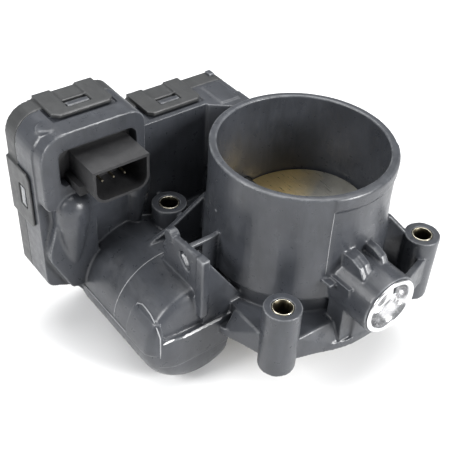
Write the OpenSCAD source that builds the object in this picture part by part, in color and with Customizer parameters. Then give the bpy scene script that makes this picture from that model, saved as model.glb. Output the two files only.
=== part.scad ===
// Electronic throttle body with plastic housing, side motor and clipped-on gear cover.
// Origin: bore axis on the mounting face. +Z runs up the bore to the inlet rim.
// +X runs along the throttle shaft from the gearbox to the steel end plug.

/* [Bore and stub] */
// Bore diameter at the throttle plate
bore_d = 74; // [60:0.5:84]
// Wall of the inlet stub at the hose seat
stub_wall = 3.4; // [2.4:0.1:5]
// Height of the inlet rim above the mounting face
rim_z = 75.4; // [60:0.2:90]
// Length of the straight hose seat below the rim
seat_len = 20; // [12:0.5:30]
// Extra radius of the stub at its foot
foot_grow = 1.6; // [0:0.1:3]

/* [Flange and bolts] */
// Distance between bolt centres, both ways
bolt_pitch = 82; // [78:0.5:96]
// Diameter of the bolt clearance hole
bolt_hole_d = 7; // [5:0.1:9]
// Outside diameter of the steel sleeve
sleeve_d = 9.6; // [8:0.1:12]
// Outside diameter of the bolt boss
boss_d = 16.5; // [13:0.1:22]
// Height of the bolt bosses
boss_h = 34; // [20:0.5:45]
// Thickness of the square flange plate
plate_t = 13; // [8:0.5:18]
// Width of the square flange plate
plate_w = 87; // [82:0.5:100]
// Radius of the low lip round the mounting face
lip_r = 52.5; // [46:0.5:58]
// Thickness of the low lip
lip_t = 4; // [2:0.5:8]

/* [Throttle shaft and plate] */
// Height of the shaft axis above the mounting face
shaft_z = 29; // [24:0.5:40]
// Shaft diameter
shaft_d = 9; // [6:0.1:12]
// Plate thickness
disc_t = 2.2; // [1.5:0.1:3]
// Gap between plate edge and bore
disc_gap = 0.4; // [0.2:0.05:1]
// Plate tilt in the limp-home rest position
rest_tilt = 12; // [6:0.5:20]
// Outside diameter of the bearing boss
hub_d = 28.4; // [24:0.2:36]
// Position of the end face of the bearing boss
hub_x = 62.2; // [54:0.2:74]
// Outside diameter of the end plug lip
plug_d = 26.8; // [20:0.2:32]

/* [Gear train] */
// Teeth on the motor pinion
z_pinion = 11; // [9:1:15]
// Teeth on the large intermediate gear
z_big = 42; // [36:1:48]
// Teeth on the small intermediate gear
z_small = 12; // [10:1:16]
// Full tooth count of the sector gear
z_sector = 50; // [44:1:56]
// Tooth module of the motor stage
m_fast = 1; // [0.8:0.05:1.2]
// Tooth module of the shaft stage
m_slow = 1.5; // [1.2:0.05:1.8]

/* [Motor] */
// Motor case diameter
motor_d = 28; // [24:0.5:29]
// Motor case length
motor_len = 49; // [40:0.5:54]
// Sideways position of the motor axis
motor_y = -64.5; // [-68:0.5:-62]
// Height of the motor axis
motor_z = -1; // [-4:0.5:2]
// Outer radius of the motor housing barrel
barrel_r = 26.5; // [24:0.5:30]
// Sideways position of the barrel axis
barrel_y = -57.5; // [-62:0.5:-54]
// Position of the barrel end face
barrel_x = 11.4; // [6:0.2:16]
// Height of the end shelf above the motor axis
shelf_z = 8.8; // [4:0.2:12]

/* [Gearbox] */
// Front face of the connector tower
tower_x = -43; // [-46:0.5:-40]
// Front face of the gear tray
tray_x = -50; // [-54:0.5:-49]
// Joint plane between tray and cover
seam_x = -64.5; // [-67:0.5:-62]
// Rear face of the cover
back_x = -73.5; // [-80:0.5:-72]
// Left face of the gearbox
left_y = -101; // [-110:0.5:-96]
// Right face of the gearbox
right_y = 20; // [18:0.5:28]
// Top of the connector tower
tower_z = 87; // [80:0.5:96]
// Top of the gear tray
tray_top = 73; // [70:0.5:80]
// Wall thickness of tray and cover
wall = 2.5; // [1.8:0.1:3.5]
// Width of a cover clip
clip_w = 28; // [20:0.5:34]
// Thickness of a cover clip
clip_t = 1.6; // [1:0.1:2.5]

/* [Connector] */
// Middle of the connector across the tower
plug_y = -72; // [-78:0.5:-68]
// Width of the connector hood
hood_w = 26.4; // [20:0.2:32]
// Top of the connector hood
hood_z = 75; // [70:0.5:80]
// Height of the connector hood
hood_h = 16.6; // [12:0.2:20]
// Front edge of the connector hood
hood_x = -29; // [-34:0.5:-24]

/* [Fits] */
// Radial press or seat clearance between parts of one assembly
seat = 0.02; // [0:0.005:0.05]
// Radial running clearance of the shaft in its bearings
run = 0.05; // [0.02:0.01:0.1]
// Free gap between moving and fixed parts
free = 0.4; // [0.3:0.05:0.8]

/* [Hidden] */
$fn = 96;
eps = 0.01;
bore_r = bore_d / 2;
stub_r = bore_r + stub_wall;
foot_r = stub_r + foot_grow;
shaft_r = shaft_d / 2;
bp = bolt_pitch / 2;
boss_r = boss_d / 2;
hub_r = hub_d / 2;
disc_r = bore_r - disc_gap;
motor_r = motor_d / 2;
pressure = 25;
r_pinion = m_fast * z_pinion / 2;
r_big = m_fast * z_big / 2;
r_small = m_slow * z_small / 2;
r_sector = m_slow * z_sector / 2;
fast_c = r_pinion + r_big;
slow_c = r_small + r_sector;
// Intermediate gear centre: the two centre distances meet above the straight line
span_y = 0 - motor_y;
span_z = shaft_z - motor_z;
span = sqrt(span_y * span_y + span_z * span_z);
along = (fast_c * fast_c - slow_c * slow_c + span * span) / (2 * span);
rise = sqrt(fast_c * fast_c - along * along);
idler_y = motor_y + (along * span_y - rise * span_z) / span;
idler_z = motor_z + (along * span_z + rise * span_y) / span;
a_motor = atan2(idler_z - motor_z, idler_y - motor_y);
a_shaft = atan2(idler_z - shaft_z, idler_y);
// Axial stack inside the gearbox
floor_x = tray_x - wall;
fast_x = floor_x - 1.6;
fast_t = 4.4;
slow_x = fast_x - fast_t - 1.1;
slow_t = 6;
sector_t = 4.8;
board_x = back_x + wall + 0.9;
board_t = 1.6;
needle_r = 1;
race_r = shaft_r + run;
cup_in = race_r + 2 * needle_r + seat;
cup_out = cup_in + 1.2;
cup_len = 8;
plug_in = plug_d / 2 - 2;
plug_deep = 8.5;
plug_seat_x = hub_x - plug_deep - 0.6;
bear_x = plug_seat_x - 3.2;
inner_x = floor_x + 1;
seal_out = cup_out;
seal_t = 2.6;
mouth_r = motor_r + 2.6;
mouth_x = tray_x + 2;
motor_end = mouth_x + motor_len;
screw_dy = 8.9;
screw_dz = motor_r + 2.8;
clip_end = -53.6;
side_clip_z = 51;
// Outer lower corner of the tab beside the connector hood
tab_y = plug_y - hood_w / 2 - 2.8;
tab_z = hood_z - 14.4;
tooth_lo = -12;
tooth_hi = 2;
pitch_a = 360 / z_sector;
close_travel = 8;
stop_a = a_shaft + (tooth_lo + 0.5) * pitch_a - close_travel - 8.2;
stop_y = 24 * cos(stop_a);
stop_z = shaft_z + 24 * sin(stop_a);

// Gearbox outline seen along X: y, z and corner radius
outline = [
  [left_y, 5.5, 5],
  [left_y + 13.5, -0.5, 6],
  [motor_y - 10, motor_z - 18.5, 12],
  [motor_y + 9.5, motor_z - 18.5, 8],
  [motor_y + 18.5, motor_z - 14, 8],
  [right_y, motor_z - 14, 9],
  [right_y, 52, 12],
  [right_y - 15.5, tray_top, 6],
  [-51.5, tray_top, 2],
  [-51.5, tower_z, 7],
  [left_y, tower_z, 12]
];

// Points of a polygon with rounded corners, moved inwards by the inset
function unit(v) = v / norm(v);
function edge_n(a, b) = let (d = unit([b[0] - a[0], b[1] - a[1]])) [-d[1], d[0]];
function corner(p, i, inset) =
  let (n = len(p))
  let (a = p[(i + n - 1) % n])
  let (b = p[i])
  let (c = p[(i + 1) % n])
  let (n1 = edge_n(a, b))
  let (n2 = edge_n(b, c))
  let (turn = n1[0] * n2[1] - n1[1] * n2[0])
  let (r = turn > 0 ? max(b[2] - inset, 0.5) : b[2] + inset)
  let (s = turn > 0 ? 1 : -1)
  let (k = (inset + s * r) / (1 + n1 * n2))
  let (o = [b[0], b[1]] + k * (n1 + n2))
  let (a1 = atan2(-s * n1[1], -s * n1[0]))
  let (a2 = atan2(-s * n2[1], -s * n2[0]))
  let (da = a2 - a1 > 180 ? a2 - a1 - 360 : (a2 - a1 < -180 ? a2 - a1 + 360 : a2 - a1))
  let (m = max(2, ceil(abs(da) / 11)))
  [for (j = [0:m]) o + r * [cos(a1 + da * j / m), sin(a1 + da * j / m)]];
function rounded(p, inset = 0) = [for (i = [0:len(p) - 1]) for (q = corner(p, i, inset)) q];

// Stands a flat shape up so that its height runs along +X from x0
module along_x(x0) {
  translate([x0, 0, 0])
    rotate([90, 0, 90])
      children();
}

module slab(x0, x1, p, inset = 0) {
  along_x(min(x0, x1))
    linear_extrude(height = abs(x1 - x0))
      polygon(rounded(p, inset));
}

module rod(x0, x1, r, y = 0, z = 0) {
  translate([min(x0, x1), y, z])
    rotate([0, 90, 0])
      cylinder(h = abs(x1 - x0), r = r);
}

module block(x0, x1, y0, y1, z0, z1) {
  translate([x0, y0, z0])
    cube([x1 - x0, y1 - y0, z1 - z0]);
}

// Plate standing across Y between y0 and y1, outline given in x and z
module fin_y(y0, y1, pts) {
  translate([0, y1, 0])
    rotate([90, 0, 0])
      linear_extrude(height = y1 - y0)
        polygon(pts);
}

// Plate standing across X between x0 and x1, outline given in y and z
module fin_x(x0, x1, pts) {
  along_x(x0)
    linear_extrude(height = x1 - x0)
      polygon(pts);
}

module at_bolts() {
  for (sx = [-1, 1])
    for (sy = [-1, 1])
      translate([sx * bp, sy * bp, 0])
        children();
}

// Involute gear teeth. Flanks are thinned by half the tooth play.
play = 0.07;
function flank(r, rb) = r <= rb ? 0 : tan(acos(rb / r)) * 180 / PI - acos(rb / r);
function tooth(z, m, i, a0, ra, rr) =
  let (rp = m * z / 2)
  let (rb = rp * cos(pressure))
  let (half = 90 / z - play / rp * 180 / PI)
  let (mid = a0 + i * 360 / z)
  let (r0 = max(rb, rr))
  let (right = [for (k = [0:4]) let (r = r0 + (ra - r0) * k / 4)
    [r, half - flank(r, rb) + flank(rp, rb)]])
  concat(
    [[rr, mid - right[0][1]]],
    [for (k = [0:4]) [right[k][0], mid - right[k][1]]],
    [for (k = [4:-1:0]) [right[k][0], mid + right[k][1]]],
    [[rr, mid + right[0][1]]]
  );
function teeth(z, m, a0, i0, i1, ra, rr) =
  [for (i = [i0:i1]) for (q = tooth(z, m, i, a0, ra, rr)) [q[0] * cos(q[1]), q[0] * sin(q[1])]];

module gear_body(z, m, a0, t) {
  linear_extrude(height = t)
    polygon(teeth(z, m, a0, 0, z - 1, m * z / 2 + 0.9 * m, m * z / 2 - 1.25 * m));
}

// Housing ---------------------------------------------------------------

module stub_solid() {
  neck_r = foot_r - 2.4;
  neck_z = plate_t + 9.6;
  seat_z = rim_z - seat_len;
  rotate_extrude()
    polygon([
      [0, 0], [foot_r, 0], [foot_r, plate_t + 0.2], [neck_r, plate_t + 0.2], [neck_r, neck_z],
      [foot_r, neck_z], [stub_r, seat_z], [stub_r, rim_z], [0, rim_z]
    ]);
}

module flange_solid() {
  block(-plate_w / 2, plate_w / 2, -plate_w / 2, plate_w / 2, 0, plate_t);
  intersection() {
    cylinder(h = lip_t, r = lip_r);
    block(tray_x - 1, lip_r + 1, -lip_r - 1, lip_r + 1, -1, lip_t + 1);
  }
  at_bolts() {
    cylinder(h = boss_h, r = boss_r);
  }
}

// Bearing boss on the plug side with its fins, side blocks and foot
module hub_solid() {
  rod(foot_r - 6, hub_x, hub_r, 0, shaft_z);
  intersection() {
    cylinder(h = shaft_z, r = lip_r - 0.6);
    block(foot_r - 6, lip_r, -hub_r / 2, hub_r / 2, 0, shaft_z);
  }
  for (y = [-6.4, 3.2])
    fin_y(y, y + 3.2, [
      [foot_r - 4, shaft_z], [foot_r + 9, shaft_z], [foot_r + 11, shaft_z + 8],
      [foot_r + 10.4, shaft_z + 13.6], [foot_r + 8, shaft_z + 16.8],
      [foot_r + 3.4, shaft_z + 18.4], [foot_r - 4, shaft_z + 18.4]
    ]);
  block(foot_r - 6, foot_r + 9, -14, -9.5, shaft_z, shaft_z + 7);
  block(foot_r + 5, hub_x - 2.6, 7.5, 13.2, shaft_z, shaft_z + 7);
  block(foot_r - 10, foot_r + 1.6, -17.6, -12.4, shaft_z + 4.2, shaft_z + 5.6);
}

// Wall between the bearing boss and the far right bolt boss
module hub_web() {
  translate([0, 0, lip_t + 7])
    linear_extrude(height = 15)
      polygon([[hub_x - 8, 9], [hub_x - 4.6, 9.6], [bp + 6.4, bp + 1], [bp + 3.6, bp]]);
}

// Upright web between the inlet stub and the far right bolt boss
module boss_web() {
  boss_u = bp * sqrt(2) - 6;
  rotate([0, 0, 45])
    fin_y(-1.4, 1.4, [
      [foot_r - 3, lip_t + 4], [boss_u, lip_t + 4], [boss_u, boss_h - 0.8],
      [foot_r + 0.4, boss_h + 8.2], [foot_r - 3, boss_h + 9.6]
    ]);
}

// Connecting tube between the bore and the gear tray
module inner_hub() {
  rod(floor_x, -foot_r + 6, 15, 0, shaft_z);
  block(tray_x - 1, -foot_r + 8, -27, 27, 0, plate_t + 9);
  block(tray_x - 1, -foot_r + 6, -15, 15, plate_t, shaft_z);
  // bridge between the gear tray and the inlet stub
  block(tray_x - 1, -bore_r + 1, -14.7, right_y - 15.5, tray_top - 34, tray_top);
}

// Quarter ellipse from the wall of the barrel to its end, as radius and x pairs
function nose(r, x, dr, dx) =
  [for (k = [0:9]) [r - dr + dr * cos(k * 10), x - dx + dx * sin(k * 10)]];

// Turned solid on the barrel axis with a rounded end
module barrel_turn(r, x, dr, dx) {
  translate([0, barrel_y, motor_z])
    rotate([0, 90, 0])
      rotate_extrude()
        polygon(concat([[0, tray_x - 1], [r, tray_x - 1]], nose(r, x, dr, dx), [[0, x]]));
}

module barrel_solid() {
  difference() {
    union() {
      // upper half with a shallow domed end
      intersection() {
        barrel_turn(barrel_r, barrel_x - 2, 16, 5.6);
        block(tray_x - 1, barrel_x, barrel_y - barrel_r - 1, -30, motor_z, motor_z + barrel_r + 1);
      }
      // shelf along the end
      intersection() {
        barrel_turn(barrel_r - 1.4, barrel_x + 0.9, 11, 9);
        block(-6, barrel_x + 1, barrel_y - barrel_r, -38, motor_z - 8, motor_z + shelf_z);
      }
      // raised pad at the outer lower corner
      intersection() {
        barrel_turn(barrel_r + 0.7, barrel_x - 0.6, 15, 7);
        block(-10.5, barrel_x, barrel_y - barrel_r - 2, barrel_y - 20, motor_z, motor_z + 16);
      }
      // lower half with a round nose
      intersection() {
        barrel_turn(barrel_r + 0.2, barrel_x + 0.4, 13, 11);
        block(tray_x - 1, barrel_x + 1, barrel_y - barrel_r - 2, -38, motor_z - barrel_r - 2, motor_z + eps);
      }
    }
    // room for the mating flange
    block(tray_x - 2, barrel_x + 2, -plate_w / 2 - 1, 0, -60, 0);
    translate([-bp, -bp, -60])
      cylinder(h = 60, r = boss_r + 0.4);
  }
}

// Tongue plate, end post and gusset on top of the barrel
module tongue() {
  y0 = -59.8;
  y1 = -57;
  fin_y(y0, y1, [
    [-18, motor_z + barrel_r - 3], [11, 12], [11, shaft_z + 15.5], [8, shaft_z + 16.4],
    [-9, shaft_z + 14.6], [-14, shaft_z + 13.2], [-18, shaft_z + 6]
  ]);
  block(7.6, 12.4, -60.8, -56.6, 14, shaft_z + 16.6);
  translate([-13.5, y1 + 1.2, shaft_z + 12.6])
    rotate([90, 0, 0])
      cylinder(h = y1 - y0 + 1.4, r = 3.4);
  fin_x(8.2, 10.6, [[-58, 4], [-58, shaft_z + 13.4], [-55.5, shaft_z + 12.6],
    [-38, 15.5], [-34, 9], [-34, 4]]);
  fin_x(-4.6, -2.2, [[-58, 14], [-58, shaft_z + 13], [-39, shaft_z + 13.6], [-39, 10]]);
}

// Walls that tie the barrel to the bore beside the left bolt boss
module barrel_web() {
  fin_x(-31.6, -29.2, [[-60, 6], [-60, motor_z + barrel_r], [-48, motor_z + barrel_r + 4],
    [-24, shaft_z + 14], [-24, 6]]);
  block(-31, 9.4, -56, -37, 0, 9);
}

// Post with a domed top in front of the tower, leaning back as it tapers down to the barrel root
module post(y, r, top, foot) {
  foot_end = foot - top + r;
  translate([tower_x - 2.4, y, top - r])
    rotate([0, 8, 0])
      rotate_extrude()
        polygon(concat(
          [[0, foot_end], [r * 0.4, foot_end], [r, -6]],
          [for (k = [0:9]) [r * cos(k * 10), r * sin(k * 10)]]
        ));
}

// Connector tower in front of the tray, sloping back to the barrel root
module tower_solid() {
  slab(tray_x - 1, tower_x, [
    [left_y + 0.6, 52, 3], [-52, 52, 3], [-51.5, tower_z, 7], [left_y + 0.6, tower_z, 12]
  ]);
  fin_y(left_y + 12, -52, [
    [tray_x - 1, 18], [tray_x + 0.7, 18], [tray_x + 1.2, 27], [tower_x - 1, 46],
    [tower_x, 54], [tray_x - 1, 54]
  ]);
  // swelling at the foot of the left post
  slab(tray_x - 1, tower_x - 3, [
    [left_y + 10.5, 2, 3], [left_y + 25, 2, 2], [left_y + 25, 54, 2],
    [left_y + 5.8, 54, 2], [left_y + 5.8, 41, 8], [left_y + 0.4, 24, 9]
  ]);
  post(left_y + 13.4, 8, 57.4, 11);
  post(-55, 6, 57, 20);
}

module latch_nub(w, h) {
  linear_extrude(height = w)
    polygon([[seam_x + 1.2, -0.6], [seam_x + 6.2, -0.6], [seam_x + 6.2, h], [seam_x + 2, h]]);
}

module hood_shape(grow = 0) {
  w = hood_w + 2 * grow;
  h = hood_h + 2 * grow;
  r = 6.4 + grow;
  translate([plug_y - w / 2, hood_z - hood_h - grow]) {
    translate([r, r])
      circle(r = r);
    translate([w - r, r])
      circle(r = r);
    translate([r, 0])
      square([w - 2 * r, h]);
    translate([0, r])
      square([w, h - r]);
  }
}

module pocket_shape(grow = 0) {
  y0 = plug_y - 20.4 - grow;
  y1 = plug_y + 15.8 + grow;
  z0 = hood_z - 13 - grow;
  z1 = hood_z + 4.2 + grow;
  r = 3.4 + grow;
  for (y = [y0 + r, y1 - r])
    for (z = [z0 + r, z1 - r])
      translate([y, z])
        circle(r = r, $fn = 48);
  translate([y0 + r, z0])
    square([y1 - y0 - 2 * r, z1 - z0]);
  translate([y0, z0 + r])
    square([y1 - y0, z1 - z0 - 2 * r]);
}

module throttle_housing() {
  color([0.25, 0.27, 0.30]) {
    difference() {
      union() {
        stub_solid();
        flange_solid();
        hub_solid();
        hub_web();
        boss_web();
        inner_hub();
        barrel_solid();
        tongue();
        barrel_web();
        tower_solid();
        slab(tray_x, seam_x, outline);
        // latch ramps for the cover clips
        translate([0, -73.5 + 5, tower_z])
          rotate([90, 0, 0])
            latch_nub(10, clip_t + 0.1);
        translate([0, -28.5 + 5, tray_top])
          rotate([90, 0, 0])
            latch_nub(10, clip_t + 0.1);
        translate([0, left_y, side_clip_z - 5])
          mirror([0, 1, 0])
            latch_nub(10, clip_t - 0.5);
        translate([0, -36, motor_z - 14])
          rotate([-90, 0, 0])
            latch_nub(10, clip_t + 0.1);
        translate([0, -6, motor_z - 14])
          rotate([-90, 0, 0])
            latch_nub(10, clip_t + 0.1);
        translate([0, right_y, 17])
          latch_nub(10, clip_t + 0.1);
      }
      // bore
      translate([0, 0, -1])
        cylinder(h = rim_z + 2, r = bore_r);
      // steel sleeves
      at_bolts()
        translate([0, 0, -1])
          cylinder(h = boss_h + 2, r = sleeve_d / 2 + seat);
      // seal groove in the mounting face
      translate([0, 0, -1])
        difference() {
          cylinder(h = 3.4, r = bore_r + 4.9);
          cylinder(h = 3.4, r = bore_r + 2);
        }
      // shaft passage and bearing seats
      rod(floor_x - 1, hub_x + 1, shaft_r + free, 0, shaft_z);
      rod(bear_x - cup_len - seal_t, hub_x + 1, cup_out + seat, 0, shaft_z);
      rod(plug_seat_x, hub_x + 1, plug_in + seat, 0, shaft_z);
      rod(floor_x - 1, inner_x + cup_len + seal_t, cup_out + seat, 0, shaft_z);
      // gear chamber
      slab(floor_x, seam_x - 1, outline, wall);
      // groove for the cover seal
      difference() {
        slab(seam_x + 1.2, seam_x - 1, outline, 0.7);
        slab(seam_x + 2, seam_x - 2, outline, 1.8);
      }
      // motor bore and mouth
      rod(floor_x - 1, motor_end + 3.4, motor_r + seat, motor_y, motor_z);
      rod(floor_x - 1, mouth_x, mouth_r + seat, motor_y, motor_z);
      rod(motor_end - 1, motor_end + 5.4, 4.4, motor_y, motor_z);
      for (s = [-1, 1]) {
        rod(floor_x - 1, mouth_x, 3.4 + seat, motor_y + s * screw_dy, motor_z + screw_dz);
        rod(floor_x - 1, mouth_x + 7, 1.25, motor_y + s * screw_dy, motor_z + screw_dz);
      }
      // intermediate gear pin
      rod(floor_x - 2, floor_x + 2, 2 + seat, idler_y, idler_z);
      // connector pocket
      along_x(floor_x - 1)
        linear_extrude(height = tower_x - floor_x + 2) {
          pocket_shape();
          hood_shape(0.4);
        }
      along_x(floor_x - 1)
        linear_extrude(height = 1 + 1.6) {
          pocket_shape(1.8 + seat);
          hood_shape(1.8 + seat);
        }
      block(floor_x + 1, tower_x + 1, tab_y - seat, tab_y + 4, tab_z - seat, tab_z + 4);
      // oval window in the tongue plate
      translate([-1.5, -50, shaft_z + 7.5])
        rotate([90, 0, 0])
          linear_extrude(height = 14) {
            translate([-1.6, 1.6])
              circle(r = 2.3, $fn = 48);
            translate([1.6, -1.6])
              circle(r = 2.3, $fn = 48);
            rotate([0, 0, -45])
              square([4.5, 4.6], center = true);
          }
      // closed stop
      rod(floor_x - 1, floor_x + 2, 1.25 + seat, stop_y, stop_z);
    }
    // raised seat that carries the intermediate gear
    difference() {
      rod(floor_x + 0.5, fast_x + 0.3, 4, idler_y, idler_z);
      rod(floor_x + 1, fast_x - 1, 2 + seat, idler_y, idler_z);
    }
  }
}

// Cover ------------------------------------------------------------------

module clip_plate(w, len, t) {
  // strip runs along +x from the rear face, thickness up +y, width along +z
  difference() {
    union() {
      linear_extrude(height = w)
        polygon([[0, -2], [0, t], [len, t], [len, 0], [5, 0], [5, -2]]);
    }
    translate([seam_x - back_x + 0.6, -4, w / 2 - 5.5])
      cube([6.1, 10, 11]);
    // rounded front corners
    for (z = [0, w])
      translate([len, -4, z])
        rotate([0, 45, 0])
          cube([3.2, 12, 3.2], center = true);
  }
}

module gear_cover() {
  len = clip_end - back_x;
  color([0.30, 0.31, 0.33])
    difference() {
      union() {
        slab(back_x, seam_x, outline);
        translate([back_x, -73.5 + clip_w / 2, tower_z + 0.05])
          rotate([90, 0, 0])
            clip_plate(clip_w, len, clip_t + 0.2);
        translate([back_x, -28.5 + clip_w / 2, tray_top + 0.05])
          rotate([90, 0, 0])
            clip_plate(clip_w, len, clip_t + 0.2);
        translate([back_x, left_y - 0.05, side_clip_z - clip_w / 2])
          mirror([0, 1, 0])
            clip_plate(clip_w, len, clip_t - 0.5);
        translate([back_x, -31 - 11, motor_z - 14 - 0.05])
          rotate([-90, 0, 0])
            clip_plate(22, len, clip_t + 0.2);
        translate([back_x, -1 - 11, motor_z - 14 - 0.05])
          rotate([-90, 0, 0])
            clip_plate(22, len, clip_t + 0.2);
        translate([back_x, right_y + 0.05, 22 - clip_w / 2])
          clip_plate(clip_w, len, clip_t + 0.2);
      }
      slab(back_x + wall, seam_x + 0.5, outline, wall);
      rod(back_x + 1.2, seam_x, 2 + seat, idler_y, idler_z);
    }
}

module cover_seal() {
  color([0.12, 0.12, 0.13])
    difference() {
      slab(seam_x + 1.2 - seat, seam_x + seat, outline, 0.7 + seat);
      slab(seam_x + 3, seam_x - 3, outline, 1.8 - seat);
    }
}

// Connector ----------------------------------------------------------------

module connector_body() {
  color([0.07, 0.07, 0.08])
    difference() {
      union() {
        along_x(floor_x)
          linear_extrude(height = 1.6 - seat) {
            pocket_shape(1.8);
            hood_shape(1.8);
          }
        along_x(floor_x + 1)
          linear_extrude(height = 3) {
            pocket_shape(-0.15);
            hood_shape(0.25);
          }
        along_x(floor_x + 1)
          linear_extrude(height = hood_x - floor_x - 1)
            hood_shape();
        // locking tab beside the hood
        block(floor_x + 1, tower_x + 7, tab_y, plug_y - hood_w / 2 + 1, tab_z, tab_z + 4.4);
      }
      // socket
      along_x(floor_x + 8)
        linear_extrude(height = 30)
          hood_shape(-1.3);
      for (p = pin_places)
        block(floor_x - 1, hood_x, p[0] - 0.4 - seat, p[0] + 0.4 + seat,
          p[1] - 0.4 - seat, p[1] + 0.4 + seat);
    }
}

pin_places = [for (row = [0, 1]) for (col = [-1, 0, 1])
  [plug_y + col * 5.4, hood_z - hood_h / 2 - 2.6 + row * 5.2]];

module connector_pins() {
  color([0.78, 0.70, 0.45])
    for (p = pin_places)
      block(floor_x - 1.1, hood_x - 7, p[0] - 0.4, p[0] + 0.4, p[1] - 0.4, p[1] + 0.4);
}

// Fasteners, seals and bearings ----------------------------------------------

module bolt_sleeves() {
  color([0.70, 0.68, 0.60])
    at_bolts()
      difference() {
        cylinder(h = boss_h, r = sleeve_d / 2);
        translate([0, 0, -1])
          cylinder(h = boss_h + 2, r = bolt_hole_d / 2);
      }
}

module flange_seal() {
  color([0.10, 0.10, 0.11])
    difference() {
      cylinder(h = 2.4 - seat, r = bore_r + 4.9 - seat);
      translate([0, 0, -1])
        cylinder(h = 5, r = bore_r + 2 + seat);
    }
}

module shaft_plug() {
  color([0.85, 0.85, 0.86])
    difference() {
      union() {
        rod(hub_x - plug_deep, hub_x + 0.5, plug_in, 0, shaft_z);
        rod(hub_x + 0.01, hub_x + 1.2, plug_d / 2, 0, shaft_z);
      }
      rod(hub_x - plug_deep + 1.2, hub_x + 3, plug_in - 1.5, 0, shaft_z);
    }
}

module cup_at(x) {
  difference() {
    rod(x, x + cup_len, cup_out, 0, shaft_z);
    rod(x + 0.8, x + cup_len - 0.8, cup_in, 0, shaft_z);
    rod(x - 1, x + cup_len + 1, race_r + 0.5, 0, shaft_z);
  }
}

module needle_cups() {
  color([0.72, 0.73, 0.75]) {
    cup_at(inner_x);
    cup_at(bear_x - cup_len);
  }
}

module needle_rollers() {
  color([0.80, 0.81, 0.83])
    for (x = [inner_x + 0.9, bear_x - cup_len + 0.9])
      for (i = [0:13])
        rod(x, x + cup_len - 1.8, needle_r,
          (race_r + needle_r) * cos(i * 360 / 14), shaft_z + (race_r + needle_r) * sin(i * 360 / 14));
}

module seal_at(x) {
  difference() {
    rod(x, x + seal_t - 2 * seat, cup_out, 0, shaft_z);
    rod(x + 0.9, x + seal_t - 0.9, cup_out - 1.1, 0, shaft_z);
    rod(x - 1, x + seal_t + 1, race_r, 0, shaft_z);
  }
}

module shaft_seals() {
  color([0.11, 0.11, 0.12]) {
    seal_at(inner_x + cup_len + seat);
    seal_at(bear_x - cup_len - seal_t + seat);
  }
}

// Throttle shaft -------------------------------------------------------------

shaft_end = bear_x + 2.2;
rotor_x = slow_x - 0.6 - sector_t;

module tilted() {
  translate([0, 0, shaft_z])
    rotate([rest_tilt, 0, 0])
      children();
}

module throttle_shaft() {
  color([0.72, 0.73, 0.75])
    difference() {
      rod(rotor_x - 2.1, shaft_end, shaft_r, 0, shaft_z);
      tilted() {
        block(-disc_r - seat, disc_r + seat, -shaft_r - 1, shaft_r + 1,
          -disc_t / 2 - seat, disc_t / 2 + seat);
        for (x = [-15, 15]) {
          translate([x, 0, -shaft_r - 1])
            cylinder(h = 2 * shaft_r + 2, r = 1.75 + seat);
          translate([x, 0, shaft_r - 1.4])
            cylinder(h = 4, r = 3.3);
        }
      }
      // groove for the retaining clip
      difference() {
        rod(bear_x + 0.4 - seat, bear_x + 1.2 + seat, shaft_r + 1, 0, shaft_z);
        rod(bear_x, bear_x + 2, shaft_r - 0.7, 0, shaft_z);
      }
    }
}

module throttle_plate() {
  color([0.72, 0.58, 0.32])
    tilted()
      difference() {
        translate([0, 0, -disc_t / 2])
          cylinder(h = disc_t, r = disc_r, $fn = 160);
        for (x = [-15, 15])
          translate([x, 0, -disc_t])
            cylinder(h = 2 * disc_t, r = 1.75 + seat);
      }
}

module plate_screws() {
  color([0.66, 0.66, 0.68])
    tilted()
      for (x = [-15, 15])
        translate([x, 0, 0])
          difference() {
            union() {
              translate([0, 0, -shaft_r - 0.4])
                cylinder(h = 2 * shaft_r - 0.9, r = 1.75);
              translate([0, 0, shaft_r - 1.4])
                cylinder(h = 1.5, r = 3.1);
            }
            translate([0, 0, shaft_r - 0.7])
              cylinder(h = 2, r = 1.3, $fn = 14);
          }
}

module sector_gear() {
  rr = r_sector - 1.25 * m_slow;
  color([0.88, 0.87, 0.82])
    difference() {
      union() {
        along_x(slow_x - 0.6 - sector_t)
          translate([0, shaft_z])
            linear_extrude(height = sector_t) {
              polygon(concat([[0, 0]], teeth(z_sector, m_slow, a_shaft + 180 / z_sector,
                tooth_lo, tooth_hi, r_sector + 0.9 * m_slow, rr)));
              circle(r = 9.5);
            }
        rod(slow_x - 1, floor_x - 1.4, 7.4, 0, shaft_z);
      }
      rod(slow_x - 20, floor_x + 1, shaft_r + seat, 0, shaft_z);
      // lightening holes
      for (i = [tooth_lo + 3, tooth_lo + 7, tooth_lo + 11])
        rod(slow_x - 10, slow_x, 5.4, 21.5 * cos(a_shaft + i * pitch_a),
          shaft_z + 21.5 * sin(a_shaft + i * pitch_a));
    }
}

module sensor_rotor() {
  color([0.80, 0.66, 0.36])
    difference() {
      union() {
        rod(rotor_x - 1.7, rotor_x - seat, 7, 0, shaft_z);
        along_x(rotor_x - 1.7)
          translate([0, shaft_z])
            linear_extrude(height = 0.8)
              for (i = [0:2])
                rotate(i * 120)
                  polygon([[0, 0], [14, -5.4], [15, 0], [14, 5.4]]);
      }
      rod(rotor_x - 3, rotor_x + 1, shaft_r + seat, 0, shaft_z);
    }
}

module shaft_clip() {
  color([0.45, 0.45, 0.47])
    difference() {
      rod(bear_x + 0.4, bear_x + 1.2, shaft_r + 2, 0, shaft_z);
      rod(bear_x, bear_x + 2, shaft_r - 0.7 + seat, 0, shaft_z);
      block(bear_x, bear_x + 2, -2.4, 2.4, shaft_z, shaft_z + 8);
    }
}

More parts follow.
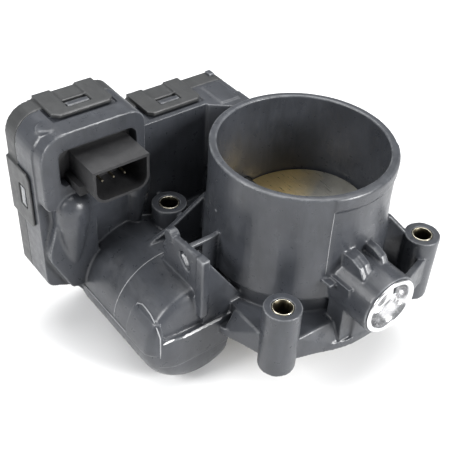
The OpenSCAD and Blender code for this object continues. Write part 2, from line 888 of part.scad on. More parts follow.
// Torsion spring swept along a coil with two straight legs
spring_r = 9.9;
wire_r = 0.55;
spring_x = floor_x - 0.95 - wire_r;
spring_p = 1.36;
spring_n = 24;
spring_turns = 3.5;
function coil_at(a) = [spring_x - spring_p * a / 360, spring_r * cos(a), shaft_z + spring_r * sin(a)];
function ring_at(c, a) = [for (k = [0:7]) c + wire_r * [cos(k * 45), 0, 0]
  + wire_r * sin(k * 45) * [0, cos(a), sin(a)]];
function tangent(a) = [0, -sin(a), cos(a)];

module return_spring() {
  last = spring_turns * 360;
  rings = concat(
    [ring_at(coil_at(0) - 9 * tangent(0), 0)],
    [for (i = [0:spring_turns * spring_n]) ring_at(coil_at(i * 360 / spring_n), i * 360 / spring_n)],
    [ring_at(coil_at(last) + 7 * tangent(last), last)]
  );
  n = len(rings);
  color([0.55, 0.56, 0.58])
    polyhedron(
      points = [for (r = rings) for (q = r) q],
      faces = concat(
        [[for (k = [0:7]) k]],
        [for (i = [0:n - 2]) for (k = [0:7])
          [i * 8 + k, (i + 1) * 8 + k, (i + 1) * 8 + (k + 1) % 8]],
        [for (i = [0:n - 2]) for (k = [0:7])
          [i * 8 + k, (i + 1) * 8 + (k + 1) % 8, i * 8 + (k + 1) % 8]],
        [[for (k = [7:-1:0]) (n - 1) * 8 + k]]
      )
    );
}

// Intermediate gear ----------------------------------------------------------

module intermediate_gear() {
  color([0.90, 0.88, 0.80])
    difference() {
      union() {
        along_x(fast_x - fast_t)
          translate([idler_y, idler_z])
            gear_body(z_big, m_fast, a_motor + 180 + 180 / z_big, fast_t);
        along_x(slow_x - slow_t)
          translate([idler_y, idler_z])
            gear_body(z_small, m_slow, a_shaft + 180, slow_t + 1.2);
      }
      rod(slow_x - slow_t - 1, fast_x + 1, 2 + run, idler_y, idler_z);
      for (i = [0:5])
        rod(fast_x - fast_t - 0.2, fast_x + 1, 3, idler_y + 14 * cos(i * 60), idler_z + 14 * sin(i * 60));
    }
}

module gear_pin() {
  color([0.74, 0.75, 0.77])
    rod(back_x + 1.25, floor_x + 2 - 0.05, 2, idler_y, idler_z);
}

// Motor ------------------------------------------------------------------------

module motor_case() {
  color([0.60, 0.61, 0.63])
    difference() {
      union() {
        rod(mouth_x, motor_end, motor_r, motor_y, motor_z);
        rod(motor_end - 1, motor_end + 4.2, 4.2, motor_y, motor_z);
      }
      rod(mouth_x - 1, motor_end - 1.2, motor_r - 1.4, motor_y, motor_z);
      rod(motor_end - 2, motor_end + 3.4, 1.6 + run, motor_y, motor_z);
    }
}

module motor_plate() {
  color([0.16, 0.16, 0.18])
    difference() {
      union() {
        rod(tray_x, mouth_x - 0.01, mouth_r, motor_y, motor_z);
        rod(mouth_x - 0.1, mouth_x + 3, motor_r - 1.4 - seat, motor_y, motor_z);
        for (s = [-1, 1])
          rod(tray_x, mouth_x - 0.01, 3.4, motor_y + s * screw_dy, motor_z + screw_dz);
      }
      rod(tray_x - 1, mouth_x + 4, 1.6 + run, motor_y, motor_z);
      for (s = [-1, 1])
        rod(tray_x - 1, mouth_x + 1, 1.2 + seat, motor_y + s * screw_dy, motor_z + screw_dz);
    }
}

module motor_screws() {
  color([0.68, 0.68, 0.70])
    for (s = [-1, 1])
      difference() {
        union() {
          rod(tray_x - 1.8, tray_x - 0.01, 2.5, motor_y + s * screw_dy, motor_z + screw_dz);
          rod(tray_x - 1, mouth_x + 6, 1.2, motor_y + s * screw_dy, motor_z + screw_dz);
        }
        rod(tray_x - 3, tray_x - 0.8, 1.1, motor_y + s * screw_dy, motor_z + screw_dz);
      }
}

module motor_armature() {
  color([0.62, 0.42, 0.26])
    difference() {
      union() {
        rod(fast_x - fast_t - 0.9, motor_end + 3, 1.6, motor_y, motor_z);
        rod(mouth_x + 12, motor_end - 9, 9.7, motor_y, motor_z);
        rod(mouth_x + 4, mouth_x + 11, 4.4, motor_y, motor_z);
      }
      for (i = [0:4])
        rod(mouth_x + 11, motor_end - 8, 1.5, motor_y + 8.6 * cos(i * 72), motor_z + 8.6 * sin(i * 72));
    }
}

module motor_magnets() {
  color([0.20, 0.20, 0.22])
    for (s = [0, 180])
      translate([mouth_x + 11, motor_y, motor_z])
        rotate([0, 90, 0])
          rotate([0, 0, s + 20])
            rotate_extrude(angle = 140)
              translate([10.3, 0])
                square([motor_r - 1.4 - seat - 10.3, 30]);
}

module motor_pinion() {
  color([0.80, 0.72, 0.42])
    difference() {
      along_x(fast_x - fast_t - 0.4)
        translate([motor_y, motor_z])
          gear_body(z_pinion, m_fast, a_motor, fast_t + 0.7);
      rod(fast_x - fast_t - 2, fast_x + 1, 1.6 + seat, motor_y, motor_z);
    }
}

module motor_terminals() {
  color([0.76, 0.60, 0.38])
    for (y = [motor_y - 7.5, motor_y + 4.5])
      union() {
        block(floor_x - 0.75, floor_x - 0.1, y, y + 2.4, motor_z + 8.5, hood_z - 12);
        block(floor_x - 0.75, tray_x, y, y + 2.4, motor_z + 8.5, motor_z + 10.2);
      }
}

module wave_spring() {
  color([0.58, 0.59, 0.61])
    translate([motor_end, motor_y, motor_z])
      rotate([0, 90, 0])
        rotate_extrude()
          polygon([
            [5, seat], [5.8, seat], [motor_r - 0.4, 3.4 - seat], [motor_r - 1.2, 3.4 - seat]
          ]);
}

// Sensor -------------------------------------------------------------------------

module sensor_board() {
  color([0.12, 0.34, 0.20])
    union() {
      fin_x(board_x, board_x + board_t, [[-17, 13], [14, 13], [14, 52], [5, 64], [-17, 64]]);
      for (y = [-13, 6])
        for (z = [20, 57])
          rod(back_x + wall + seat, board_x + 0.1, 2, y, z);
      block(board_x + board_t - 0.1, board_x + board_t + 1.1, -9, -1, 50, 58);
      block(board_x + board_t - 0.1, board_x + board_t + 0.9, 3, 8, 52, 57);
    }
}

module sensor_leads() {
  color([0.76, 0.60, 0.38])
    for (i = [0:3]) {
      z = 47 + i * 3.4;
      y = plug_y + 12 - i * 5.2;
      union() {
        block(board_x + board_t, board_x + board_t + 0.6, y, -11.5, z, z + 1.6);
        block(board_x + board_t, floor_x - 1.2, y, y + 0.8, z, z + 1.6);
      }
    }
}

module stop_screw() {
  color([0.64, 0.64, 0.66])
    rod(slow_x - 5, floor_x + 2 - 0.05, 1.25, stop_y, stop_z);
}

throttle_housing();
gear_cover();
cover_seal();
connector_body();
connector_pins();
bolt_sleeves();
flange_seal();
shaft_plug();
needle_cups();
needle_rollers();
shaft_seals();
throttle_shaft();
throttle_plate();
plate_screws();
sector_gear();
sensor_rotor();
shaft_clip();
return_spring();
intermediate_gear();
gear_pin();
motor_case();
motor_plate();
motor_armature();
motor_magnets();
motor_pinion();
motor_screws();
motor_terminals();
wave_spring();
sensor_board();
sensor_leads();
stop_screw();
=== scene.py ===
import math

import bmesh
import bpy
from mathutils import Matrix, Vector


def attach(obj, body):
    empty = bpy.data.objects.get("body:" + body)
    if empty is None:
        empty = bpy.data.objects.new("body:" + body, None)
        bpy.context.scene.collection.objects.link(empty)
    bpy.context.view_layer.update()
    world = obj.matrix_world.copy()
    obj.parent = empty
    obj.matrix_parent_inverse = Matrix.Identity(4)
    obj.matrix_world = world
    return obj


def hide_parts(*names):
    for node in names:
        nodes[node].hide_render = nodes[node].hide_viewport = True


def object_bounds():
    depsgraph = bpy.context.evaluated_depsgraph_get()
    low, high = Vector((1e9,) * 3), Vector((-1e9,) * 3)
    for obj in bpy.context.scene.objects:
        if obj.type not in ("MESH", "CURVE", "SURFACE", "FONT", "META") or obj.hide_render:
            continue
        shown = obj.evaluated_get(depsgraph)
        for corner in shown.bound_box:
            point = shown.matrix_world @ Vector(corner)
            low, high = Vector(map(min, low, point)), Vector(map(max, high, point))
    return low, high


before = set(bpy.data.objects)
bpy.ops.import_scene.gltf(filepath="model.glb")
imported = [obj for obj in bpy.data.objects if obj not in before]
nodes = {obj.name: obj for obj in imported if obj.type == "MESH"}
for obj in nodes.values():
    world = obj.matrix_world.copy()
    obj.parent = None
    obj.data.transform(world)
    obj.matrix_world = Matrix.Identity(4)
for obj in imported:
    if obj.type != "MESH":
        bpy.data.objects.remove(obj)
cad_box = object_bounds()
MM = 0.001

# Main sizes of the part, in millimetres
SHAFT_Z = 29.0
BARREL_Y, BARREL_Z, BARREL_R = -57.5, -1.0, 26.5
LIP_R = 52.2
BOLT_X = 41.0
SLEEVE_TOP = 34.0
# Cover clips: first side, second side and height of the housing under each
CLIPS = ((-87.5, -59.5, 87.0), (-42.5, -14.5, 73.0))
CLIP_MID = 5.8


# Camera -------------------------------------------------------------------

def make_camera():
    az, el, roll = (math.radians(a) for a in (49.72, 41.77, 4.17))
    back = Vector((math.sin(az) * math.cos(el), -math.cos(az) * math.cos(el), math.sin(el)))
    right = Vector((math.cos(az), math.sin(az), 0))
    up = back.cross(right)
    right2 = math.cos(roll) * right + math.sin(roll) * up
    up2 = math.cos(roll) * up - math.sin(roll) * right
    cam = bpy.data.cameras.new("camera")
    cam.sensor_width = 36
    cam.lens = 66.76
    cam.shift_x = -0.0309
    cam.shift_y = 0.0711
    cam.clip_start = 0.01
    ob = bpy.data.objects.new("camera", cam)
    m = Matrix((right2, up2, back)).transposed().to_4x4()
    m.translation = Vector((210.87, -210.15, 272.60)) * MM
    ob.matrix_world = m
    bpy.context.scene.collection.objects.link(ob)
    bpy.context.scene.camera = ob


# Materials ----------------------------------------------------------------

class Mat:
    """A Principled material built node by node on object coordinates."""

    def __init__(self, name):
        self.mat = bpy.data.materials.new(name)
        self.mat.use_nodes = True
        self.tree = self.mat.node_tree
        self.bsdf = self.tree.nodes["Principled BSDF"]
        self.coord = self.tree.nodes.new("ShaderNodeTexCoord").outputs["Object"]

    def set(self, **values):
        for key, value in values.items():
            self.bsdf.inputs[key].default_value = value

    def link(self, a, b):
        self.tree.links.new(a, b)

    def mapped(self, scale):
        n = self.tree.nodes.new("ShaderNodeMapping")
        n.inputs["Scale"].default_value = scale
        self.link(self.coord, n.inputs["Vector"])
        return n.outputs["Vector"]

    def noise(self, scale, detail=4.0, rough=0.6, vector=None, distort=0.0):
        n = self.tree.nodes.new("ShaderNodeTexNoise")
        n.inputs["Scale"].default_value = scale
        n.inputs["Detail"].default_value = detail
        n.inputs["Roughness"].default_value = rough
        n.inputs["Distortion"].default_value = distort
        self.link(vector or self.coord, n.inputs["Vector"])
        return n.outputs["Fac"]

    def ramp(self, fac, stops):
        n = self.tree.nodes.new("ShaderNodeValToRGB")
        r = n.color_ramp
        while len(r.elements) < len(stops):
            r.elements.new(0.5)
        for e, (at, c) in zip(r.elements, stops):
            e.position = at
            e.color = (c, c, c, 1) if isinstance(c, (int, float)) else (*c, 1)
        self.link(fac, n.inputs["Fac"])
        return n.outputs["Color"]

    def mix(self, fac, a, b):
        n = self.tree.nodes.new("ShaderNodeMix")
        n.data_type = "RGBA"
        for socket, v in ((n.inputs[0], fac), (n.inputs[6], a), (n.inputs[7], b)):
            if isinstance(v, (int, float)):
                socket.default_value = v
            elif isinstance(v, tuple):
                socket.default_value = (*v, 1)
            else:
                self.link(v, socket)
        return n.outputs[2]

    def math(self, op, a, b):
        n = self.tree.nodes.new("ShaderNodeMath")
        n.operation = op
        for socket, v in ((n.inputs[0], a), (n.inputs[1], b)):
            if isinstance(v, (int, float)):
                socket.default_value = v
            else:
                self.link(v, socket)
        return n.outputs[0]

    def pointiness(self):
        return self.tree.nodes.new("ShaderNodeNewGeometry").outputs["Pointiness"]

    def bump(self, height, strength, distance=0.0002, under=None):
        n = self.tree.nodes.new("ShaderNodeBump")
        n.inputs["Strength"].default_value = strength
        n.inputs["Distance"].default_value = distance
        self.link(height, n.inputs["Height"])
        if under is not None:
            self.link(under, n.inputs["Normal"])
        return n.outputs["Normal"]

    def done(self, color, rough, normal):
        self.link(color, self.bsdf.inputs["Base Color"])
        self.link(rough, self.bsdf.inputs["Roughness"])
        self.link(normal, self.bsdf.inputs["Normal"])
        return self.mat


def moulded(name, dark, light, worn, rough, wear, grain):
    """Glass-filled moulded plastic: flow swirls, fine speckle, whitened edges, satin grain."""
    m = Mat(name)
    m.set(Metallic=0.0, IOR=1.5)
    cloud = m.ramp(m.noise(45, 5, 0.6), [(0.3, dark), (0.7, light)])
    flow = m.noise(70, 6, 0.7, m.mapped((1.0, 3.5, 0.7)), 1.2)
    base = m.mix(m.ramp(flow, [(0.42, 0.0), (0.72, 0.35)]), cloud, tuple(c * 1.45 for c in light))
    speck = m.noise(2600, 2, 0.5)
    base = m.mix(m.ramp(speck, [(0.60, 0.0), (0.80, 0.30)]), base, tuple(c * 2.0 for c in light))
    edge = m.ramp(m.pointiness(), [(0.515, 0.0), (0.60, 1.0)])
    patch = m.ramp(m.noise(160, 5, 0.7), [(0.36, 0.15), (0.66, 1.0)])
    mask = m.math("MULTIPLY", m.math("MULTIPLY", edge, patch), wear)
    color = m.mix(mask, base, worn)
    r = m.ramp(m.noise(260, 4, 0.6), [(0.3, rough - 0.07), (0.7, rough + 0.09)])
    fine = m.bump(m.noise(1500, 3, 0.6), grain, 0.00012)
    soft = m.bump(m.noise(130, 3, 0.5), 0.25, 0.0006, fine)
    return m.done(color, r, soft)


def metal(name, dark, light, rough=0.3, brush=(1, 1, 1), scratch=0.12, stain=None):
    """Machined or drawn metal with tool marks along one direction."""
    m = Mat(name)
    m.set(Metallic=1.0)
    marks = m.noise(900, 5, 0.7, m.mapped(brush))
    cloud = m.noise(120, 5, 0.65)
    base = m.ramp(m.math("ADD", m.math("MULTIPLY", marks, 0.5), m.math("MULTIPLY", cloud, 0.5)),
                  [(0.35, dark), (0.65, light)])
    if stain:
        blot = m.ramp(m.noise(70, 6, 0.7, None, 0.6), [(0.48, 0.0), (0.66, 0.8)])
        base = m.mix(blot, base, stain)
    r = m.ramp(marks, [(0.3, max(rough - 0.1, 0.05)), (0.7, rough + 0.14)])
    return m.done(base, r, m.bump(marks, scratch, 0.00008))


def brass_sheet():
    """Rolled brass plate, golden at one side and turned grey towards the other by painted shadow."""
    m = Mat("plate_brass")
    m.set(Metallic=1.0)
    sep = m.tree.nodes.new("ShaderNodeSeparateXYZ")
    m.link(m.coord, sep.inputs[0])
    wander = m.math("MULTIPLY", m.math("SUBTRACT", m.noise(60, 4, 0.6), 0.5), 0.03)
    across = m.math("ADD", m.math("ADD", sep.outputs["X"], sep.outputs["Y"]), wander)
    # painted shadow: blend from the brass colour to grey across the plate
    shadow_blend = m.ramp(m.math("ADD", m.math("MULTIPLY", across, 14.0), 0.42), [(0.30, 0.0), (0.62, 1.0)])
    marks = m.noise(300, 5, 0.65, m.mapped((0.3, 5, 1)))
    gold = m.ramp(marks, [(0.2, (0.80, 0.60, 0.27)), (0.8, (0.95, 0.74, 0.38))])
    shadow_grey = m.ramp(m.noise(90, 5, 0.65), [(0.3, (0.24, 0.235, 0.215)), (0.7, (0.34, 0.33, 0.29))])
    color = m.mix(shadow_blend, gold, shadow_grey)
    rough = m.ramp(marks, [(0.3, 0.26), (0.7, 0.34)])
    return m.done(color, rough, m.bump(marks, 0.02, 0.00002))


def rubber(name, dark, light):
    m = Mat(name)
    m.set(Metallic=0.0)
    base = m.ramp(m.noise(300, 5, 0.7), [(0.3, dark), (0.75, light)])
    r = m.ramp(m.noise(500, 3, 0.6), [(0.3, 0.62), (0.7, 0.82)])
    return m.done(base, r, m.bump(m.noise(1800, 3, 0.6), 0.3, 0.0001))


def make_materials():
    return {
        "housing_plastic": moulded("housing_plastic", (0.022, 0.024, 0.028), (0.041, 0.044, 0.051),
                                   (0.36, 0.37, 0.38), 0.32, 0.85, 0.22),
        "cover_plastic": moulded("cover_plastic", (0.019, 0.020, 0.021), (0.034, 0.035, 0.035),
                                 (0.16, 0.16, 0.16), 0.42, 0.45, 0.30),
        "connector_plastic": moulded("connector_plastic", (0.006, 0.006, 0.007),
                                     (0.011, 0.011, 0.012), (0.07, 0.07, 0.07), 0.48, 0.35, 0.30),
        # lighter plastic for the raised witness lines: painted highlight on real beads
        "highlit_witness_line": moulded("highlit_witness_line", (0.05, 0.053, 0.06), (0.19, 0.195, 0.205),
                              (0.60, 0.60, 0.60), 0.32, 0.5, 0.15),
        # near-white plastic that paints edge highlights
        "edge_highlight_paint": moulded("edge_highlight_paint", (0.30, 0.30, 0.31), (0.62, 0.62, 0.62), (0.8, 0.8, 0.8),
                         0.40, 0.6, 0.35),
        "black_rubber": rubber("black_rubber", (0.012, 0.012, 0.013), (0.030, 0.030, 0.032)),
        "pin_brass": metal("pin_brass", (0.16, 0.14, 0.10), (0.34, 0.31, 0.24), 0.35, (1, 6, 6)),
        "sleeve_steel": metal("sleeve_steel", (0.46, 0.42, 0.32), (0.80, 0.76, 0.62), 0.28,
                              (1, 1, 0.15), 0.15),
        # painted shade for the inside of the bolt sleeve bores
        "sleeve_bore_shade": metal("sleeve_bore_shade", (0.020, 0.018, 0.014), (0.10, 0.085, 0.055), 0.42,
                             (1, 1, 0.15), 0.2),
        "bright_steel": metal("bright_steel", (0.66, 0.66, 0.67), (0.90, 0.90, 0.90), 0.18,
                              (4, 1, 1), 0.10),
        "bearing_steel": metal("bearing_steel", (0.50, 0.51, 0.53), (0.74, 0.75, 0.77), 0.22),
        "shaft_steel": metal("shaft_steel", (0.40, 0.41, 0.43), (0.68, 0.69, 0.71), 0.26,
                             (0.2, 3, 3)),
        "plate_brass": brass_sheet(),
        "screw_steel": metal("screw_steel", (0.40, 0.40, 0.41), (0.66, 0.66, 0.68), 0.30),
        "gear_nylon": moulded("gear_nylon", (0.55, 0.52, 0.42), (0.72, 0.69, 0.58),
                              (0.80, 0.78, 0.70), 0.40, 0.3, 0.12),
        "rotor_brass": metal("rotor_brass", (0.44, 0.32, 0.13), (0.74, 0.58, 0.30), 0.30),
        "spring_steel": metal("spring_steel", (0.28, 0.28, 0.30), (0.52, 0.52, 0.55), 0.32),
        "motor_steel": metal("motor_steel", (0.36, 0.37, 0.39), (0.60, 0.61, 0.63), 0.38,
                             (0.3, 2, 2)),
        "copper_winding": metal("copper_winding", (0.42, 0.17, 0.08), (0.76, 0.36, 0.18), 0.34,
                                (0.3, 8, 8), 0.4),
        "magnet_grey": metal("magnet_grey", (0.10, 0.10, 0.11), (0.18, 0.18, 0.19), 0.50),
        "board_green": moulded("board_green", (0.010, 0.070, 0.030), (0.018, 0.110, 0.050),
                               (0.10, 0.22, 0.14), 0.35, 0.2, 0.10),
    }


# Geometry helpers, all in millimetres ---------------------------------------

def from_bm(bm, name):
    mesh = bpy.data.meshes.new(name)
    bm.to_mesh(mesh)
    bm.free()
    ob = bpy.data.objects.new(name, mesh)
    bpy.context.scene.collection.objects.link(ob)
    return ob


class Solids:
    """Collects closed solids in millimetres into one mesh."""

    def __init__(self):
        self.bm = bmesh.new()

    def hull(self, points):
        vs = [self.bm.verts.new(Vector(p) * MM) for p in points]
        out = bmesh.ops.convex_hull(self.bm, input=vs)
        loose = [v for v in out["geom_interior"] if isinstance(v, bmesh.types.BMVert)]
        bmesh.ops.delete(self.bm, geom=loose, context="VERTS")

    def block(self, x0, x1, y0, y1, z0, z1):
        self.hull([(x, y, z) for x in (x0, x1) for y in (y0, y1) for z in (z0, z1)])

    def loft(self, rings):
        """Closed solid through rings of points, with flat ends."""
        rows = [[self.bm.verts.new(Vector(p) * MM) for p in ring] for ring in rings]
        n = len(rows[0])
        for a, b in zip(rows, rows[1:]):
            for i in range(n):
                self.bm.faces.new((a[i], a[(i + 1) % n], b[(i + 1) % n], b[i]))
        self.bm.faces.new(list(reversed(rows[0])))
        self.bm.faces.new(rows[-1])

    def upright(self, z0, z1, outline):
        """Outline in the XY plane, raised from z0 to z1."""
        self.loft([[(x, y, z) for x, y in outline] for z in (z0, z1)])

    def stud(self, z0, z1, x, y, r0, r1, n=48):
        """Upright round stud that tapers from r0 to r1."""
        turns = [2 * math.pi * i / n for i in range(n)]
        self.loft([[(x + r * math.cos(t), y + r * math.sin(t), z) for t in turns]
                   for z, r in ((z0, r0), (z1, r1))])

    def tube(self, points, r, squash=1.0, n=8):
        """Bead along a path, with tapered ends; squash flattens it."""
        pts = [Vector(p) for p in points]
        last = len(pts) - 1
        rings = []
        for i, p in enumerate(pts):
            t = (pts[min(i + 1, last)] - pts[max(i - 1, 0)]).normalized()
            ref = Vector((0, 0, 1)) if abs(t.z) < 0.9 else Vector((1, 0, 0))
            u = t.cross(ref).normalized()
            v = t.cross(u)
            taper = min(1.0, 0.35 + 0.5 * min(i, last - i))
            rings.append([p + taper * r * (math.cos(2 * math.pi * k / n) * u
                                           + squash * math.sin(2 * math.pi * k / n) * v)
                          for k in range(n)])
        self.loft(rings)

    def object(self, name):
        bmesh.ops.recalc_face_normals(self.bm, faces=self.bm.faces)
        return from_bm(self.bm, name)


def smooth(ob):
    for p in ob.data.polygons:
        p.use_smooth = True


def apply_modifiers(ob):
    graph = bpy.context.evaluated_depsgraph_get()
    mesh = bpy.data.meshes.new_from_object(ob.evaluated_get(graph))
    ob.modifiers.clear()
    ob.data = mesh


def copy_of(node, name):
    """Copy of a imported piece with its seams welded."""
    bm = bmesh.new()
    bm.from_mesh(nodes[node].data)
    bmesh.ops.remove_doubles(bm, verts=bm.verts, dist=1e-7)
    return from_bm(bm, name)


def moulded_shell(name, node, adds, cuts, voxel, steps, keep):
    """The node's shape with extra solids and cuts, given soft moulded edges."""
    ob = copy_of(node, name)
    cutter = cuts.object(name + "_cut")
    mod = ob.modifiers.new("cut", "BOOLEAN")
    mod.operation = "DIFFERENCE"
    mod.solver = "EXACT"
    mod.use_self = True
    mod.object = cutter
    apply_modifiers(ob)
    bpy.data.objects.remove(cutter)
    if adds:
        extra = adds.object(name + "_add")
        bm = bmesh.new()
        bm.from_mesh(ob.data)
        bm.from_mesh(extra.data)
        bm.to_mesh(ob.data)
        bm.free()
        bpy.data.objects.remove(extra)
    mod = ob.modifiers.new("melt", "REMESH")
    mod.mode = "VOXEL"
    mod.voxel_size = voxel * MM
    mod = ob.modifiers.new("round", "SMOOTH")
    mod.factor = 0.5
    mod.iterations = steps
    mod = ob.modifiers.new("thin", "DECIMATE")
    mod.ratio = keep
    apply_modifiers(ob)
    smooth(ob)
    return ob


def finish_piece(ob, mat):
    """Material and body of a piece of the housing body."""
    ob.data.materials.clear()
    ob.data.materials.append(mat)
    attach(ob, "housing")


# Housing --------------------------------------------------------------------

def around(r, turn):
    """Point on a circle round the bore, turn in degrees from +X."""
    a = math.radians(turn)
    return r * math.cos(a), r * math.sin(a)


def add_flange_skirts(add):
    """Skirts that slope from the flange's top out to its lip."""
    for turns, top in ((range(-41, -13, 3), ((44.4, -34), (44.6, -12), (36, -34), (36, -12))),
                       (range(-74, -49, 3), ((15, -44.4), (33, -44.6), (15, -38), (33, -38)))):
        lip = [around(LIP_R, turn) for turn in turns]
        add.hull([(x, y, z) for x, y in lip for z in (0.3, 2.0)]
                 + [(x, y, z) for x, y in top for z in (0.3, 12.9)])


def add_bearing_boss_parts(add):
    # panel under the side block of the bearing boss
    add.hull([(x, y, z) for z, out in ((0.3, 50.2), (2.0, 50.2), (30.0, 49.2))
              for x, y in ((40, -13.2), (out, -13.2), (out, -6.0), (40, -6.0))])
    # matching block at the far side of the boss
    add.block(46, 56.6, 9.0, 15.0, 21, 33.6)
    # thicker roots and rounded tops of the two fins on the bearing boss
    for y0, y1, top in ((-9.0, -4.0, 46.6), (2.6, 6.0, 46.9)):
        add.hull([(x, y, z) for y in (y0, y1) for x, z in (
            (40, 31), (50, 31), (53.2, 35), (53.0, 41), (50.0, top - 1.6), (45.6, top), (40, top))])


def add_rim_band(add):
    """Thickened band below the inlet rim, round part of the stub."""
    section = ((38.6, 68.6), (41.0, 69.0), (41.1, 74.2), (40.6, 75.0), (38.6, 75.0))
    add.loft([[(*around(r, -22 + 2.6 * k), z) for r, z in section] for k in range(31)])


def add_tower_and_bridge_parts(add):
    # round pad and three steps on the tower
    add.stud(84.5, 86.9, -52.4, -92.6, 4.0, 3.7)
    for x, z in ((-51.6, 87.35), (-48.6, 87.30), (-46.2, 87.25)):
        add.hull([(x + d, y, z - abs(d) * 0.9) for y in (-86, -61) for d in (-1.0, -0.3, 0.3, 1.0)]
                 + [(x + d, y, 85) for y in (-86, -61) for d in (-1.0, 1.0)])
    # small hook at the back of the bridge and raised panel on it
    add.hull([(x, y, z) for x in (-72.6, -68.4) for y in (0.4, 3.4) for z in (71.5, 74.2)])
    add.hull([(x, y, z) for x, y in ((-62.5, -8.6), (-46.5, -8.6), (-46.5, 1.0), (-62.5, 1.0))
              for z in (70.0, 73.55)])


def cut_clip_seats(cut):
    """Steps and gaps round the cover clips, so that their plates stand clear."""
    for y0, y1, top in CLIPS:
        mid0, mid1 = (y0 + y1) / 2 - CLIP_MID, (y0 + y1) / 2 + CLIP_MID
        cut.block(-57.6, -52.8, y0 - 0.8, y1 + 0.8, top - 0.8, top + 0.5)
        cut.block(-64.3, -57.7, y0 - 0.8, mid0, top - 0.8, top + 0.5)
        cut.block(-64.3, -57.7, mid1, y1 + 0.8, top - 0.8, top + 0.5)
        cut.block(-64.3, -61.2, mid0 + 0.1, mid1 - 0.1, top - 0.6, top + 3)
        for y in (y0 - 0.9, y1 + 0.1):
            cut.block(-64.3, -52.8, y, y + 0.8, top - 2.8, top + 0.5)


def make_housing(mats):
    add, cut = Solids(), Solids()
    add_flange_skirts(add)
    add_bearing_boss_parts(add)
    add_rim_band(add)
    add_tower_and_bridge_parts(add)
    cut_clip_seats(cut)
    # seam between the bridge and the cover
    cut.block(-65.8, -64.9, -12.5, -2.6, 72.0, 76.0)
    # clearance beside the bridge
    cut.upright(38, 75, [(-49.2, -15.4), (-38.3, -15.4), (-40.3, -9.0), (-41.4, -5.6)])
    # wedge gap behind the left clip
    cut.hull([(x, y, z) for z in (38, 64) for x, y in
              ((-64.6, -99.9), (-64.6, -102), (-55.0, -102), (-55.0, -101.2))])
    ob = moulded_shell("housing_shell", "throttle_housing", add, cut, 0.5, 4, 0.35)
    finish_piece(ob, mats["housing_plastic"])
    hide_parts("throttle_housing")


def on_barrel(x, turn, r=BARREL_R):
    """Point on the motor barrel, turn in degrees from its top."""
    a = math.radians(turn)
    return (x, BARREL_Y + r * math.sin(a), BARREL_Z + r * math.cos(a))


def make_lines_and_edge_highlights(mats):
    """Raised witness lines of the moulding, in a lighter plastic that paints highlights on them, and
    strips of painted edge highlight.
    """
    s = Solids()
    # joints of the mould inserts round the barrel
    s.tube([on_barrel(-49.6, a) for a in range(-90, 43, 4)], 0.38)
    s.tube([on_barrel(-21.3, a) for a in range(-90, 3, 4)], 0.24)
    s.tube([on_barrel(4.2, a, 25.6) for a in range(-42, -3, 3)], 0.34)
    # outline of the raised leaf pad
    leaf = [(-11.0, -84.2, -0.5), (-10.8, -83.3, 5.0), (-10.5, -82.0, 9.5), (-10.3, -80.2, 13.0),
            (-9.6, -78.5, 15.6), (-7.0, -77.8, 16.5), (-4.0, -77.8, 16.4), (0, -78.1, 16.1),
            (3.2, -78.6, 15.3), (7.0, -79.3, 13.2), (9.6, -79.6, 10.6), (10.6, -80.2, 7.4),
            (10.9, -80.4, 3.5), (11.0, -80.6, 0.0)]
    s.tube(leaf, 0.30)
    # parting seam along the outer side
    s.tube([(x, -84.15, -0.7) for x in range(-48, 1, 2)]
           + [(1.6, -84.0, -0.7), (4.4, -83.2, -0.7), (7.0, -81.6, -0.7), (9.2, -79.4, -0.6)], 0.30)
    # weld line down the stub, following its flare
    weld = [(40.42 + 1.6 * max(0, 55.4 - z) / 32.8 + 0.03 * math.sin(z), z) for z in range(36, 72, 2)]
    s.tube([(*around(r, -22.4), z) for r, z in weld], 0.17)
    # light bead on the front edge of the tower top, a painted highlight
    s.tube([(-43.42 + 0.08 * math.sin(y), y, 86.72) for y in range(-90, -58, 2)], 0.36)
    ob = s.object("witness_lines_highlit")
    smooth(ob)
    # the lighter material of these beads paints highlights on the raised lines
    finish_piece(ob, mats["highlit_witness_line"])
    t = Solids()
    # painted highlight strips along the shelf edge at the barrel end
    t.tube([(12.25 + 0.12 * math.sin(1.7 * y), y, 7.75 + 0.1 * math.sin(2.3 * y))
            for y in range(-70, -48)], 0.62, 0.7)
    t.tube([(10.9 + 0.1 * math.sin(y), y, 7.6) for y in range(-79, -72)], 0.50, 0.7)
    t.tube([(11.6 - 0.08 * k, -46 + k, 7.7) for k in range(8)], 0.55, 0.7)
    ob = t.object("shelf_edge_highlights")
    smooth(ob)
    finish_piece(ob, mats["edge_highlight_paint"])


def turned(name, axis_pos, profile, axis="z", n=96):
    """Turned ring or cup from a closed outline of (radius, height) pairs."""
    bm = bmesh.new()
    rows = []
    for i in range(n):
        a = 2 * math.pi * i / n
        row = []
        for r, h in profile:
            u, v = r * math.cos(a), r * math.sin(a)
            p = (u, v, h) if axis == "z" else (h, u, v)
            row.append(bm.verts.new((Vector(p) + Vector(axis_pos)) * MM))
        rows.append(row)
    k = len(profile)
    for a, b in zip(rows, rows[1:] + rows[:1]):
        for j in range(k):
            bm.faces.new((a[j], b[j], b[(j + 1) % k], a[(j + 1) % k]))
    bmesh.ops.recalc_face_normals(bm, faces=bm.faces)
    ob = from_bm(bm, name)
    smooth(ob)
    mod = ob.modifiers.new("edges", "BEVEL")
    mod.width = 0.12 * MM
    mod.segments = 2
    mod.limit_method = "ANGLE"
    mod.angle_limit = math.radians(35)
    apply_modifiers(ob)
    return ob


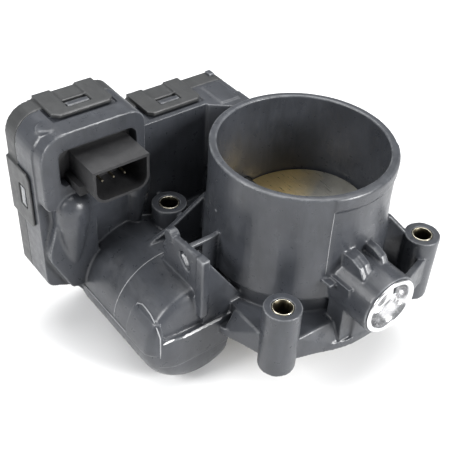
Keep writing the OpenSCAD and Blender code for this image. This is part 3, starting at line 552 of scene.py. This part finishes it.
def make_sleeves(mats):
    """Steel bolt sleeves with chamfered mouths."""
    outline = [(4.75, 0.1), (4.75, 33.2), (4.55, 33.95), (4.20, SLEEVE_TOP), (3.55, 33.0),
               (3.5, 32.0), (3.5, 1.0), (3.9, 0.1)]
    parts = [turned("sleeve", (x, y, 0), outline)
             for x in (-BOLT_X, BOLT_X) for y in (-BOLT_X, BOLT_X)]
    ob = parts[0]
    bm = bmesh.new()
    for p in parts:
        bm.from_mesh(p.data)
    bm.to_mesh(ob.data)
    bm.free()
    for p in parts[1:]:
        bpy.data.objects.remove(p)
    ob.name = "bolt_sleeve_set"
    smooth(ob)
    finish_piece(ob, mats["sleeve_steel"])
    # painted shade: dark inside the bore below the mouth
    ob.data.materials.append(mats["sleeve_bore_shade"])
    for p in ob.data.polygons:
        x, y, z = p.center / MM
        if math.hypot(abs(x) - BOLT_X, abs(y) - BOLT_X) < 4.15 and z < SLEEVE_TOP - 0.1:
            p.material_index = 1
    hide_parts("bolt_sleeves")


def make_plug(mats):
    """Pressed steel end cup with a rolled lip."""
    prof = [(0.01, 53.8), (9.8, 53.8), (11.3, 54.6), (11.35, 62.0), (12.0, 62.25), (13.3, 62.3),
            (13.38, 62.8), (13.0, 63.2), (12.1, 63.35), (11.3, 63.1), (10.7, 62.0), (10.2, 58.2),
            (9.6, 56.2), (8.2, 55.3), (3.0, 55.05), (0.01, 55.0)]
    ob = turned("end_cup", (0, 0, SHAFT_Z), prof, "x")
    finish_piece(ob, mats["bright_steel"])
    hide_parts("shaft_plug")


def make_cover(mats):
    cut = Solids()
    # strap behind each clip window lies lower than the arms
    for y, top in ((-73.5, 88.85), (-28.5, 74.85)):
        cut.block(-74, -64.1, y - 5.6, y + 5.6, top - 0.9, top + 1)
    ob = moulded_shell("cover_shell", "gear_cover", None, cut, 0.42, 3, 0.4)
    finish_piece(ob, mats["cover_plastic"])
    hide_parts("gear_cover")


# Stage ------------------------------------------------------------------------

def area(name, at, aim, size, power):
    """Area light of the given width and height, aimed at a point."""
    light = bpy.data.lights.new(name, "AREA")
    light.energy = power
    light.shape = "RECTANGLE"
    light.size, light.size_y = size
    ob = bpy.data.objects.new(name, light)
    ob.location = at
    ob.rotation_euler = (Vector(aim) - Vector(at)).to_track_quat("-Z", "Y").to_euler()
    bpy.context.scene.collection.objects.link(ob)


def make_stage():
    low = cad_box[0][2]
    s = Solids()
    s.block(-3000, 3000, -3000, 3000, low / MM - 12, low / MM - 0.2)
    floor = s.object("floor")
    m = Mat("floor_white")
    m.set(Metallic=0.0)
    base = m.ramp(m.noise(6, 3, 0.5), [(0.3, (0.74, 0.74, 0.74)), (0.7, (0.77, 0.77, 0.77))])
    rough = m.ramp(m.noise(30, 3, 0.5), [(0.3, 0.75), (0.7, 0.85)])
    floor.data.materials.append(m.done(base, rough, m.bump(m.noise(400, 2, 0.5), 0.02)))
    world = bpy.data.worlds.new("studio")
    world.use_nodes = True
    bg = world.node_tree.nodes["Background"]
    bg.inputs["Color"].default_value = (0.95, 0.97, 1.0, 1)
    bg.inputs["Strength"].default_value = 0.34
    bpy.context.scene.world = world
    area("top_soft", (-0.16, 0.06, 0.75), (0, 0, 0), (0.75, 0.75), 7.8)
    area("left_soft", (-0.16, -0.80, 0.50), (-0.01, -0.04, 0), (0.36, 0.36), 7.6)
    area("right_strip", (0.72, 0.30, 0.40), (0.02, 0, 0.04), (0.26, 0.42), 12.0)
    bpy.context.scene.view_settings.view_transform = "Standard"


def main():
    make_camera()
    mats = make_materials()
    for name, ob in nodes.items():
        for i, m in enumerate(ob.data.materials):
            ob.data.materials[i] = mats.get(m.name.split(".")[0], mats["housing_plastic"])
    make_housing(mats)
    make_cover(mats)
    make_lines_and_edge_highlights(mats)
    make_sleeves(mats)
    make_plug(mats)
    make_stage()


main()
